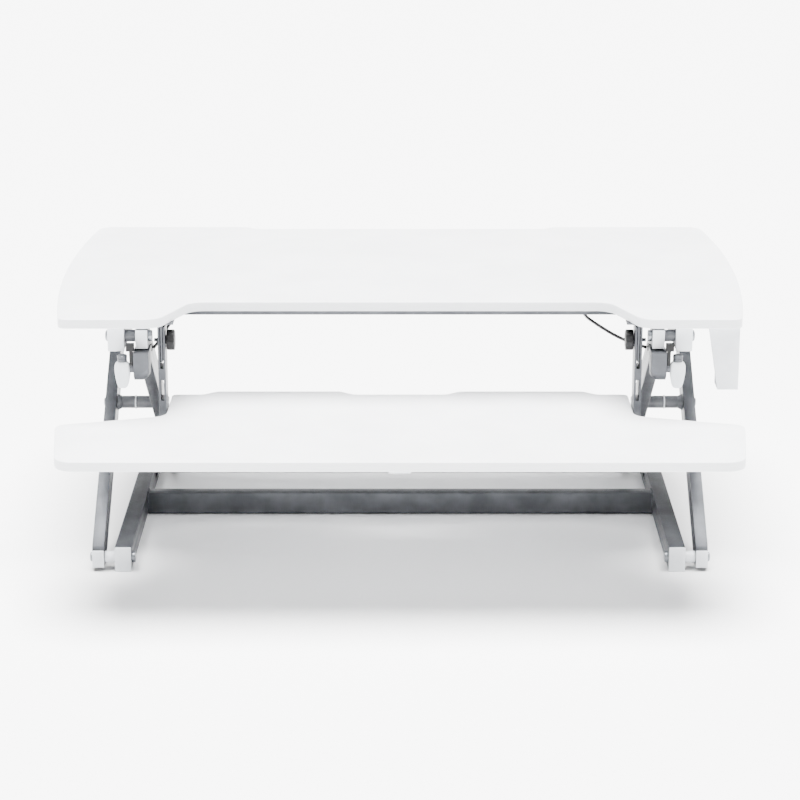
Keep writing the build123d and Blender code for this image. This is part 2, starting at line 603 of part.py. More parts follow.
def make_gas_springs():
    x = SPRING_X
    z = TOP_PIVOT_Z
    body = rod_y(CYLINDER_FRONT_Y, CYLINDER_REAR_Y, x, z, CYLINDER_RADIUS)
    body -= rod_y(CYLINDER_FRONT_Y + CYLINDER_END_WALL, CYLINDER_REAR_Y - CYLINDER_PLUG, x, z,
                  CYLINDER_RADIUS - CYLINDER_WALL)
    body -= rod_y(CYLINDER_REAR_Y - CYLINDER_PLUG - CUT, CYLINDER_REAR_Y + CUT, x, z,
                  GAS_ROD_RADIUS + RUNNING_FIT)
    save_group("gas_cylinders", body)

    front_y = REAR_AXLE_Y - GAS_ROD_LENGTH
    rod = rod_y(front_y, REAR_AXLE_Y - EYE_RADIUS + EYE_OVERLAP, x, z, GAS_ROD_RADIUS)
    rod += rod_y(front_y, front_y + PISTON_LENGTH, x, z, CYLINDER_RADIUS - CYLINDER_WALL - PISTON_CLEARANCE)
    rod += rod_x(x - EYE_WIDTH / 2, x + EYE_WIDTH / 2, REAR_AXLE_Y, z, EYE_RADIUS)
    rod -= rod_x(x - EYE_WIDTH, x + EYE_WIDTH, REAR_AXLE_Y, z, AXLE_RADIUS + RUNNING_FIT)
    save_group("gas_rods", rod)
    save_group("upper_sliders", slider(TOP_PIVOT_Z, REAR_AXLE_Y))

    tube_rear = TOP_TUBE_FRONT_Y + TOP_TUBE_DEPTH
    x0 = x - SPRING_PLATE_HALF_WIDTH
    x1 = x + SPRING_PLATE_HALF_WIDTH
    plate = box(x0, x1, tube_rear, CYLINDER_FRONT_Y, TOP_TUBE_BOTTOM_Z, DESKTOP_BOTTOM_Z)
    flange = box(x0, x1, CYLINDER_FRONT_Y, CYLINDER_FRONT_Y + SPRING_FLANGE_LENGTH,
                 DESKTOP_BOTTOM_Z - SPRING_FLANGE_THICKNESS, DESKTOP_BOTTOM_Z)
    save_group("cylinder_brackets", plate + flange)
    valve_x = x - CYLINDER_RADIUS
    valve = box(valve_x - VALVE_WIDTH, valve_x, VALVE_FRONT_Y, VALVE_REAR_Y, VALVE_BOTTOM_Z, VALVE_TOP_Z)
    valve -= rod_y(VALVE_FRONT_Y - CUT, VALVE_REAR_Y + CUT, x, z, CYLINDER_RADIUS + VALVE_SEAT_GAP)
    save_group("release_valves", valve)


# Straight runs joined by arcs as large as the two runs beside each corner allow.
def cable_path(points):
    places = [Vector(*point) for point in points]
    radii = []
    for before, corner, after in zip(places, places[1:], places[2:]):
        turn = radians((corner - before).get_angle(after - corner))
        shorter = min((corner - before).length, (after - corner).length)
        radii.append(BEND_SHARE * shorter / tan(turn / 2))
    return FilletPolyline(*points, radius=radii), radii


def make_cables():
    for side, route in (("right", CABLE_ROUTE_RIGHT), ("left", CABLE_ROUTE_LEFT)):
        path, radii = cable_path(route)
        section = Plane(origin=path @ 0, z_dir=path % 0) * Circle(CABLE_DIAMETER / 2)
        cable = sweep(section, path=path)
        print(side, "cable length", round(path.length, 1), "radii", [round(radius, 1) for radius in radii])
        print(side, "cable volume ratio", round(cable.volume / (section.area * path.length), 4))
        save("release_cable_" + side, cable)


def make_tray_arms():
    reach = STUD_RADIUS + STUD_SLOT_GAP
    slot = box(HANGER_X - CUT, HANGER_X + ARM_STRIP + CUT, STUD_Y - reach, STUD_Y + reach,
               STUD_Z - TRAY_TRAVEL - reach, STUD_Z + reach)
    plate = box(HANGER_X, HANGER_X + ARM_STRIP, ARM_FRONT_Y, ARM_REAR_Y, HANGER_BOTTOM_Z, DESKTOP_BOTTOM_Z)
    flange = box(HANGER_X - HANGER_FLANGE, HANGER_X, ARM_FRONT_Y, ARM_REAR_Y,
                 DESKTOP_BOTTOM_Z - ARM_STRIP, DESKTOP_BOTTOM_Z)
    save_group("tray_hangers", plate + flange - slot)

    strips = box(ARM_INNER_X, ARM_INNER_X + ARM_STRIP, ARM_FRONT_Y, ARM_REAR_Y, TRAY_BOTTOM_Z, ARM_TOP_Z)
    strips += box(ARM_OUTER_X - ARM_STRIP, ARM_OUTER_X, ARM_FRONT_Y, ARM_REAR_Y, TRAY_BOTTOM_Z, ARM_TOP_Z)
    for low, high in ARM_BRIDGES:
        strips += box(ARM_INNER_X + ARM_STRIP, ARM_OUTER_X - ARM_STRIP, ARM_FRONT_Y, ARM_REAR_Y, low, high)
    strips -= rod_x(ARM_INNER_X - CUT, ARM_OUTER_X + CUT, STUD_Y, STUD_Z, STUD_RADIUS + RUNNING_FIT)
    save_group("tray_arms", strips)

    foot_bottom_z = TRAY_BOTTOM_Z - ARM_STRIP
    foot = box(FOOT_INNER_X, ARM_OUTER_X, ARM_FRONT_Y, ARM_REAR_Y, foot_bottom_z, TRAY_BOTTOM_Z)
    foot += box(FOOT_INNER_X, FOOT_INNER_X + FOOT_WIDTH, FOOT_FRONT_Y, FOOT_REAR_Y,
                foot_bottom_z, TRAY_BOTTOM_Z)
    save_group("tray_feet", foot)
    screws = []
    for y in TRAY_SCREW_Y:
        screws.append(rod_z(foot_bottom_z - TRAY_SCREW_HEIGHT, foot_bottom_z,
                            FOOT_INNER_X + FOOT_WIDTH / 2, y, SCREW_HEAD_RADIUS))
    save_group("tray_screws", *screws)

    knob = rod_x(KNOB_INNER_X, KNOB_OUTER_X, STUD_Y, STUD_Z, KNOB_RADIUS)
    knob += rod_x(KNOB_OUTER_X, ARM_INNER_X - FACE_GAP, STUD_Y, STUD_Z, KNOB_NECK_RADIUS)
    knob += rod_x(KNOB_OUTER_X, ARM_OUTER_X + STUD_OVERHANG, STUD_Y, STUD_Z, STUD_RADIUS)
    save_sides("tray_knob", knob)

    pad_place = Pos(0, REST_PAD_Y, TRAY_BOTTOM_Z - REST_PAD_THICKNESS / 2)
    save("tray_rest_pad", pad_place * Box(REST_PAD_WIDTH, REST_PAD_DEPTH, REST_PAD_THICKNESS))


# Hanging hook: a tapering front plate, a floor and a low rear lip around an open throat.
def make_hook():
    high = DESKTOP_BOTTOM_Z
    low = HOOK_BOTTOM_Z
    inside_y = HOOK_FRONT_Y + HOOK_PLATE
    front = [(HOOK_TOP_INNER_X, high), (HOOK_OUTER_X, high), (HOOK_OUTER_X, low), (HOOK_INNER_X, low)]
    front_face = Pos(0, HOOK_FRONT_Y, 0) * (Plane.XZ * Polygon(*front, align=None))
    plate = extrude(front_face, amount=HOOK_PLATE, dir=(0, 1, 0))
    floor = box(HOOK_INNER_X, HOOK_OUTER_X, inside_y, HOOK_REAR_Y, low, low + HOOK_WALL)
    lip = box(HOOK_INNER_X, HOOK_OUTER_X, HOOK_REAR_Y - HOOK_WALL, HOOK_REAR_Y, low, low + HOOK_LIP_HEIGHT)
    flange = box(HOOK_FLANGE_INNER_X, HOOK_OUTER_X, inside_y, HOOK_REAR_Y, high - HOOK_FLANGE_THICKNESS, high)
    save("headset_hook", plate + floor + lip + flange)


def main():
    os.makedirs("parts", exist_ok=True)
    make_boards()
    make_base()
    make_outer_legs()
    make_inner_legs()
    make_levers()
    make_top_frame()
    make_gas_springs()
    make_cables()
    make_tray_arms()
    make_hook()


main()
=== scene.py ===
import json
import math
import bmesh
import bpy
from mathutils import Matrix, Vector


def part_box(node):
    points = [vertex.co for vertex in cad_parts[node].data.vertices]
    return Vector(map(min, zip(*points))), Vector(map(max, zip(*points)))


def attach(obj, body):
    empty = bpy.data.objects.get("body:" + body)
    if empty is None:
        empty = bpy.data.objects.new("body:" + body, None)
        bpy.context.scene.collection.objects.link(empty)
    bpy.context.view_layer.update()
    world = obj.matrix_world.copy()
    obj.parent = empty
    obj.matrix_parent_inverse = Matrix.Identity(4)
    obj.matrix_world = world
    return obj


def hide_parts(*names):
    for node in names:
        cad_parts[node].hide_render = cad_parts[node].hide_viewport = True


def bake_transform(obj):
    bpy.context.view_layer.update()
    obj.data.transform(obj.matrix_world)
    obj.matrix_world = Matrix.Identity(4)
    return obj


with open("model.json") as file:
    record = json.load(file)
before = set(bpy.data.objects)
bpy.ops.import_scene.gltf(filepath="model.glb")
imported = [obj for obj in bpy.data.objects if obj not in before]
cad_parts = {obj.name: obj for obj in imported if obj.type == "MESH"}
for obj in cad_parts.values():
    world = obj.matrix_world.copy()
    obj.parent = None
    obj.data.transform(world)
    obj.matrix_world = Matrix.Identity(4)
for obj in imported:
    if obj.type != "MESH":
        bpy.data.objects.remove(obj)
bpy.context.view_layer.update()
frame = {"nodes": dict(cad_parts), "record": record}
mm = 0.001  # the sizes of the pieces are given in millimetres, and the scene is in metres
print("frame loaded:", len(frame["nodes"]), "nodes")

bodyOfNode = {}
for bodyName, nodeNames in frame["record"]["behaviour"]["bodies"].items():
    for nodeName in nodeNames:
        bodyOfNode[nodeName] = bodyName


# Colours and materials

def linearColour(hexText):
    parts = [int(hexText[i:i + 2], 16) / 255 for i in (1, 3, 5)]
    linear = [c / 12.92 if c <= 0.04045 else ((c + 0.055) / 1.055) ** 2.4 for c in parts]
    return (*linear, 1.0)


def addNode(owner, kind, settings=None, inputs=None):
    # one node of a material or world, its settings, and its inputs as values or as links
    node = owner.node_tree.nodes.new("ShaderNode" + kind)
    for key, value in (settings or {}).items():
        setattr(node, key, value)
    for key, value in (inputs or {}).items():
        if isinstance(value, bpy.types.NodeSocket):
            owner.node_tree.links.new(value, node.inputs[key])
        else:
            node.inputs[key].default_value = value
    return node


patternSettings = {
    "broadDetail": 3.0,
    "fineDetail": 2.0,
    "toneStops": (0.35, 0.65),
    "glossRange": (0.3, 0.7),
    "bumpStrength": 0.6,
}


def makeMaterial(name, s, p=patternSettings):
    # a broad noise drifts the colour, a fine one breaks up the gloss and lifts the bump
    material = bpy.data.materials.new(name)
    material.use_nodes = True
    material.node_tree.nodes.clear()
    shader = addNode(material, "BsdfPrincipled", inputs=s["shader"])
    addNode(material, "OutputMaterial", inputs={"Surface": shader.outputs[0]})
    place = addNode(material, "TexCoord").outputs["Object"]
    if "stretch" in s:
        place = addNode(material, "Mapping", inputs={"Vector": place, "Scale": s["stretch"]}).outputs[0]
    broad = addNode(material, "TexNoise", inputs={
        "Vector": place, "Scale": 1 / (s["broadMm"] * mm), "Detail": p["broadDetail"]}).outputs[0]
    fine = addNode(material, "TexNoise", inputs={
        "Vector": place, "Scale": 1 / (s["fineMm"] * mm), "Detail": p["fineDetail"]}).outputs[0]
    ramp = addNode(material, "ValToRGB", inputs={"Fac": broad})
    for element, position, hexText in zip(ramp.color_ramp.elements, p["toneStops"], s["tones"]):
        element.position = position
        element.color = linearColour(hexText)
    gloss = addNode(material, "MapRange", inputs={
        "Value": fine, "From Min": p["glossRange"][0], "From Max": p["glossRange"][1],
        "To Min": s["rough"][0], "To Max": s["rough"][1]})
    bump = addNode(material, "Bump", inputs={
        "Height": fine, "Distance": s["bumpMm"] * mm, "Strength": p["bumpStrength"]})
    for socket, target in ((ramp, "Base Color"), (gloss, "Roughness"), (bump, "Normal")):
        material.node_tree.links.new(socket.outputs[0], shader.inputs[target])
    return material


# Patterns that are finer than about 1 mm are drawn at 1 to 2 mm, so that they show.
materialSettings = {
    # matt melamine foil pressed with a pearl texture of about 0.5 mm: a soft sheen, faint mottling
    "melamineFoil": {
        "shader": {"IOR": 1.5}, "tones": ("#dadbdd", "#e1e2e4"), "broadMm": 90, "fineMm": 1.8,
        "rough": (0.38, 0.5), "bumpMm": 0.05},
    # PVC edge band, glued and scraped: a little greyer than the foil, with faint lines along it
    "edgeBandPvc": {
        "shader": {"IOR": 1.52}, "tones": ("#d3d5d8", "#dadcde"), "broadMm": 22, "fineMm": 22,
        "stretch": (1.0, 1.0, 18.0), "rough": (0.3, 0.42), "bumpMm": 0.04},
    # silver metallic powder coat on steel tube: cool grey with drifts of flake and a fine orange peel
    "silverPowderCoat": {
        "shader": {"Metallic": 0.55, "IOR": 1.5}, "tones": ("#3c3e42", "#4d4f53"), "broadMm": 45,
        "fineMm": 2.2, "rough": (0.36, 0.48), "bumpMm": 0.06},
    # moulded polypropylene with a spark-eroded tool texture: even white, a soft broken highlight
    "whitePolypropylene": {
        "shader": {"IOR": 1.49}, "tones": ("#d3d6da", "#dcdfe2"), "broadMm": 25, "fineMm": 1.2,
        "rough": (0.4, 0.52), "bumpMm": 0.03},
    # moulded ABS, a touch glossier than the caps because hands rub it
    "paleGreyAbs": {
        "shader": {"IOR": 1.54}, "tones": ("#c9cdd1", "#d3d6d9"), "broadMm": 25, "fineMm": 1.2,
        "rough": (0.32, 0.44), "bumpMm": 0.03},
    # moulded black ABS with a fine tool texture: low gloss, so it stays black under a bright ceiling
    "blackAbs": {
        "shader": {"IOR": 1.54, "Specular IOR Level": 0.22}, "tones": ("#0d0d0e", "#141415"),
        "broadMm": 25, "fineMm": 1.2, "rough": (0.42, 0.58), "bumpMm": 0.05},
    # turned grey nylon: satin, with an even colour
    "greyNylon": {
        "shader": {"IOR": 1.53, "Specular IOR Level": 0.4}, "tones": ("#4c4e52", "#56585c"),
        "broadMm": 25, "fineMm": 1.4, "rough": (0.35, 0.48), "bumpMm": 0.03},
    # unpigmented nylon for sliding parts: creamy, waxy and a little uneven
    "naturalNylon": {
        "shader": {"IOR": 1.53}, "tones": ("#d9d6cb", "#e4e1d6"), "broadMm": 20, "fineMm": 1.4,
        "rough": (0.38, 0.5), "bumpMm": 0.03},
    # moulded rubber, dusty and dull with a coarse skin
    "footRubber": {
        "shader": {"IOR": 1.52, "Specular IOR Level": 0.3}, "tones": ("#0c0c0c", "#141414"),
        "broadMm": 15, "fineMm": 1.5, "rough": (0.7, 0.9), "bumpMm": 0.12},
    # extruded PVC cable sheath: black, smooth, a long soft highlight
    "cableSheathPvc": {
        "shader": {"IOR": 1.53, "Specular IOR Level": 0.3}, "tones": ("#0a0a0b", "#111112"),
        "broadMm": 30, "fineMm": 2.0, "rough": (0.34, 0.46), "bumpMm": 0.02},
    # black enamel on drawn steel tube: dark gloss with a slight ripple
    "blackEnamel": {
        "shader": {"IOR": 1.5, "Specular IOR Level": 0.35}, "tones": ("#0e0e0f", "#151517"),
        "broadMm": 25, "fineMm": 1.6, "rough": (0.28, 0.38), "bumpMm": 0.03},
    # turned steel, zinc plated: fine turning marks run round the X axis
    "zincPlatedSteel": {
        "shader": {"Metallic": 1.0}, "tones": ("#74777b", "#8b8e92"), "broadMm": 3.0, "fineMm": 3.0,
        "stretch": (6.0, 1.0, 1.0), "rough": (0.24, 0.36), "bumpMm": 0.01},
    # ground and hard-chromed rod: bright, almost a mirror
    "hardChrome": {
        "shader": {"Metallic": 1.0}, "tones": ("#c9cbcd", "#d6d8d9"), "broadMm": 6.0, "fineMm": 2.0,
        "stretch": (1.0, 6.0, 1.0), "rough": (0.06, 0.12), "bumpMm": 0.005},
    # seamless studio paper: matt, with a very faint fibre
    "studioPaper": {
        "shader": {"Specular IOR Level": 0.1}, "tones": ("#eeeeee", "#f0f0f0"), "broadMm": 6.0,
        "fineMm": 3.0, "rough": (0.86, 0.94), "bumpMm": 0.01},
}
materials = {name: makeMaterial(name, settings) for name, settings in materialSettings.items()}
print("materials made:", len(materials))


# Mesh tools

meshSettings = {
    "mergeMm": 0.001,  # points that are closer than this are one
    "spinMergeMm": 0.01,  # the same at the poles of a turned shape
    "flatDegrees": 0.6,  # CAD triangles that meet at less than this become one face
}


def finishMesh(bm, name, materialNames, smoothAngle=35):
    mesh = bpy.data.meshes.new(name)
    bm.to_mesh(mesh)
    bm.free()
    mesh.shade_smooth()
    mesh.set_sharp_from_angle(angle=math.radians(smoothAngle))
    for materialName in materialNames:
        mesh.materials.append(materials[materialName])
    piece = bpy.data.objects.new(name, mesh)
    bpy.context.scene.collection.objects.link(piece)
    return piece


def placePiece(piece, body, nodes):
    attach(piece, body)
    if nodes:
        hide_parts(*nodes)
    return piece


def mirrorToLeft(bm):
    # adds the left-hand copy of a right-hand shape
    copied = bmesh.ops.duplicate(bm, geom=bm.verts[:] + bm.edges[:] + bm.faces[:])["geom"]
    verts = [g for g in copied if isinstance(g, bmesh.types.BMVert)]
    faces = [g for g in copied if isinstance(g, bmesh.types.BMFace)]
    bmesh.ops.scale(bm, verts=verts, vec=(-1, 1, 1))
    bmesh.ops.reverse_faces(bm, faces=faces)


def mirrorIf(bm, side):
    # turns a right-hand shape into the left-hand one when that side is wanted
    if side == "left":
        bmesh.ops.scale(bm, verts=bm.verts, vec=(-1, 1, 1))
        bmesh.ops.reverse_faces(bm, faces=bm.faces)


def copyOfNode(nodeName):
    # the CAD mesh of a node, with its loose triangles joined into whole faces
    bm = bmesh.new()
    bm.from_mesh(frame["nodes"][nodeName].data)
    bmesh.ops.remove_doubles(bm, verts=bm.verts, dist=meshSettings["mergeMm"] * mm)
    bmesh.ops.dissolve_limit(bm, angle_limit=math.radians(meshSettings["flatDegrees"]),
                             verts=bm.verts, edges=bm.edges)
    return bm


def roundEdges(bm, widthMm, segments=3, angle=30):
    # every edge that turns by more than the angle gets the radius
    sharp = [e for e in bm.edges if e.is_manifold and e.calc_face_angle(0) > math.radians(angle)]
    bmesh.ops.bevel(bm, geom=sharp, offset=widthMm * mm, offset_type="OFFSET", segments=segments,
                    profile=0.5, affect="EDGES", clamp_overlap=True, material=-1)


def ringEdges(verts):
    # the edges that join these points to each other
    inRing = set(verts)
    return [e for e in dict.fromkeys(e for v in verts for e in v.link_edges) if set(e.verts) <= inRing]


def loftRings(bm, rings):
    # pulls the first ring of points through the others, and closes both ends
    verts = [bm.verts.new(point) for point in rings[0]]
    for pair in zip(verts, verts[1:] + verts[:1]):
        bm.edges.new(pair)
    loop = ringEdges(verts)
    bmesh.ops.contextual_create(bm, geom=loop)
    for ring in rings[1:]:
        pulled = bmesh.ops.extrude_edge_only(bm, edges=loop)["geom"]
        loop = [g for g in pulled if isinstance(g, bmesh.types.BMEdge)]
        # the new points, in the order of the ring that they came from
        nextVerts = [None] * len(verts)
        fresh = {g for g in pulled if isinstance(g, bmesh.types.BMVert)}
        for i, v in enumerate(verts):
            for e in v.link_edges:
                other = e.other_vert(v)
                if other in fresh:
                    nextVerts[i] = other
        for v, point in zip(nextVerts, ring):
            v.co = point
        verts = nextVerts
        loop = ringEdges(verts)
    bmesh.ops.contextual_create(bm, geom=loop)
    bmesh.ops.recalc_face_normals(bm, faces=bm.faces)


def addBox(bm, low, high):
    place = Matrix.Translation([(a + b) / 2 * mm for a, b in zip(low, high)])
    size = Matrix.Diagonal([(b - a) * mm for a, b in zip(low, high)] + [1])
    bmesh.ops.create_cube(bm, size=1, matrix=place @ size)


# Boards: foil on both faces, edge band round the sides

boardSettings = {
    "edgeRadiusMm": 2.0,
    "segments": 4,
    "foilSlope": 0.8,  # a face is foil where its normal points up or down by this much or more
    "nodes": ("desktop_board", "keyboard_tray_board"),
}


def makeBoards(s):
    for nodeName in s["nodes"]:
        bm = copyOfNode(nodeName)
        roundEdges(bm, s["edgeRadiusMm"], s["segments"])
        bm.normal_update()
        for face in bm.faces:
            face.material_index = 1 if abs(face.normal.z) < s["foilSlope"] else 0
        piece = finishMesh(bm, nodeName + "_finished", ("melamineFoil", "edgeBandPvc"))
        placePiece(piece, bodyOfNode[nodeName], [nodeName])
    print("boards done")


makeBoards(boardSettings)

# Frame, caps, spacers, fasteners and gas springs: the CAD shape with rounded edges

# edge radius (0 for none) and material of each node
nodeFinishes = {
    "base_rail_left": (1.0, "silverPowderCoat"), "base_rail_right": (1.0, "silverPowderCoat"),
    "base_crossbar": (1.0, "silverPowderCoat"), "top_front_tube": (1.0, "silverPowderCoat"),
    "top_rail_left": (1.0, "silverPowderCoat"), "top_rail_right": (1.0, "silverPowderCoat"),
    "outer_leg_left": (1.0, "silverPowderCoat"), "outer_leg_right": (1.0, "silverPowderCoat"),
    "inner_leg_left": (1.0, "silverPowderCoat"), "inner_leg_right": (1.0, "silverPowderCoat"),
    "inner_cross_tube": (0.5, "silverPowderCoat"),
    "cylinder_brackets": (0.6, "silverPowderCoat"), "tray_hangers": (0.6, "silverPowderCoat"),
    "tray_arms": (0.6, "silverPowderCoat"), "tray_feet": (0.6, "silverPowderCoat"),
    "base_front_caps": (1.2, "whitePolypropylene"), "base_rear_caps": (0.6, "whitePolypropylene"),
    "top_rail_front_caps": (1.2, "whitePolypropylene"), "top_rail_rear_caps": (0.6, "whitePolypropylene"),
    "outer_leg_caps": (1.0, "whitePolypropylene"), "inner_leg_caps": (1.0, "whitePolypropylene"),
    "headset_hook": (1.5, "whitePolypropylene"), "tray_rest_pad": (1.0, "whitePolypropylene"),
    "base_pivot_spacers": (0.8, "whitePolypropylene"), "centre_washers": (0.4, "whitePolypropylene"),
    "centre_spacers": (0.8, "greyNylon"), "centre_collars": (0.8, "greyNylon"),
    "top_pivot_spacers": (0.8, "greyNylon"),
    "upper_sliders": (0.8, "naturalNylon"), "lower_sliders": (0.8, "naturalNylon"),
    "outer_leg_bushes": (0.3, "naturalNylon"), "inner_leg_bushes": (0.3, "naturalNylon"),
    "base_foot_pads": (0.5, "footRubber"), "cable_grommets": (0.4, "footRubber"),
    "gas_cylinders": (0.4, "blackEnamel"), "release_valves": (0.8, "blackEnamel"),
    "gas_rods": (0.3, "hardChrome"),
    "upper_rear_axle": (0.8, "zincPlatedSteel"), "lower_rear_axle": (0.8, "zincPlatedSteel"),
    "base_pivot_nuts": (0.8, "zincPlatedSteel"), "centre_nuts": (0.8, "zincPlatedSteel"),
    "top_pivot_nuts": (0.8, "zincPlatedSteel"), "desktop_screws": (0.6, "zincPlatedSteel"),
    "tray_screws": (0.6, "zincPlatedSteel"), "lever_return_springs": (0.0, "zincPlatedSteel"),
}


def makeRoundedNodes(table):
    for nodeName, (radiusMm, materialName) in table.items():
        bm = copyOfNode(nodeName)
        if radiusMm > 0:
            roundEdges(bm, radiusMm)
        piece = finishMesh(bm, nodeName + "_finished", (materialName,))
        placePiece(piece, bodyOfNode[nodeName], [nodeName])
    print("rounded nodes done:", len(table))


makeRoundedNodes(nodeFinishes)

# Pivot bolts: a button head with a hexagon socket, turned about X

boltSettings = {
    "tipMm": 0.5,  # chamfer on the end of the shaft
    "rimMm": 1.2,  # straight side of the head, below its dome
    "domeSteps": 6,
    "turnSteps": 48,
    "smoothAngle": 40,
    "socketShare": 0.42,  # half the socket's width across its flats, as a share of the head's radius
    "socketRimShare": 1.16,  # radius at which the dome stops, as a share of that half width
    "socketDepthMm": 2.4,
    "socketSides": 6,
    # body, start of the shaft, radius of shaft and head, height of the head
    "kinds": {
        "base_pivot_bolts": ("base", 406.0, 5.0, 7.5, 4.2),
        "centre_bolts": ("outer_legs", 371.2, 6.0, 7.5, 4.5),
        "top_pivot_bolts": ("top_frame", 371.2, 5.0, 8.5, 4.5),
    },
}


def boltProfile(shaftStart, headStart, headEnd, shaftRadius, headRadius, s):
    # half outline of the bolt from its shaft end to the socket's rim, as (x, radius)
    tip = s["tipMm"] * mm
    domeBase = headStart + s["rimMm"] * mm
    points = [(shaftStart, 0), (shaftStart, shaftRadius - tip), (shaftStart + tip, shaftRadius),
              (headStart, shaftRadius), (headStart, headRadius), (domeBase, headRadius)]
    socketRadius = headRadius * s["socketShare"] * s["socketRimShare"]
    for step in range(1, s["domeSteps"] + 1):
        turn = 0.5 * math.pi * step / s["domeSteps"]
        across = socketRadius + (headRadius - socketRadius) * math.cos(turn)
        points.append((domeBase + (headEnd - domeBase) * math.sin(turn), across))
    return points


def makeBolts(nodeName, body, shaftStartMm, shaftRadiusMm, headRadiusMm, headHeightMm, s):
    low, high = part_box(nodeName)
    centreY = (low.y + high.y) / 2
    centreZ = (low.z + high.z) / 2
    headEnd = high.x
    headStart = headEnd - headHeightMm * mm
    profile = boltProfile(shaftStartMm * mm, headStart, headEnd, shaftRadiusMm * mm, headRadiusMm * mm, s)
    bm = bmesh.new()
    verts = [bm.verts.new((x, centreY, centreZ + r)) for x, r in profile]
    edges = [bm.edges.new(pair) for pair in zip(verts, verts[1:])]
    bmesh.ops.spin(bm, geom=verts + edges, cent=(0, centreY, centreZ), axis=(1, 0, 0),
                   angle=2 * math.pi, steps=s["turnSteps"], use_merge=True)
    bmesh.ops.remove_doubles(bm, verts=bm.verts, dist=meshSettings["spinMergeMm"] * mm)
    # the dome's open rim is pulled in to the socket's hexagon, and the hexagon down to its floor
    rim = [e for e in bm.edges if e.is_boundary]
    socket = bmesh.ops.extrude_edge_only(bm, edges=rim)["geom"]
    lip = [g for g in socket if isinstance(g, bmesh.types.BMVert)]
    flatHalf = headRadiusMm * mm * s["socketShare"]
    sideAngle = 2 * math.pi / s["socketSides"]
    for v in lip:
        angle = math.atan2(v.co.z - centreZ, v.co.y - centreY)
        within = (angle % sideAngle) - sideAngle / 2
        reach = flatHalf / math.cos(within)
        v.co.y = centreY + reach * math.cos(angle)
        v.co.z = centreZ + reach * math.sin(angle)
    lipEdges = [g for g in socket if isinstance(g, bmesh.types.BMEdge)]
    wall = bmesh.ops.extrude_edge_only(bm, edges=lipEdges)["geom"]
    floorVerts = [g for g in wall if isinstance(g, bmesh.types.BMVert)]
    bmesh.ops.translate(bm, verts=floorVerts, vec=(-s["socketDepthMm"] * mm, 0, 0))
    bmesh.ops.contextual_create(bm, geom=[g for g in wall if isinstance(g, bmesh.types.BMEdge)])
    bmesh.ops.recalc_face_normals(bm, faces=bm.faces)
    mirrorToLeft(bm)
    piece = finishMesh(bm, nodeName + "_finished", ("zincPlatedSteel",), s["smoothAngle"])
    placePiece(piece, body, [nodeName])


for nodeName, sizes in boltSettings["kinds"].items():
    makeBolts(nodeName, *sizes, boltSettings)
print("bolts done")

# Tray knobs: lobed grip, neck and bright stud

knobSettings = {
    "lobes": 8,
    "lobeDepthMm": 1.3,
    "gripRadiusMm": 16.0,
    "gripLengthMm": 12.0,
    "gripSteps": 96,
    "edgeRadiusMm": 1.6,
    "edgeSegments": 4,
    "faceRimMm": 3.0,
    "faceRecessMm": 0.6,
    "neckRadiusMm": 5.5,
    "neckFlare": 1.25,
    "neckLengthMm": 3.2,
    "neckSteps": 40,
    "studRadiusMm": 3.0,
    "studSteps": 28,
    "threadPitchMm": 1.0,
    "threadDepthMm": 0.5,
}


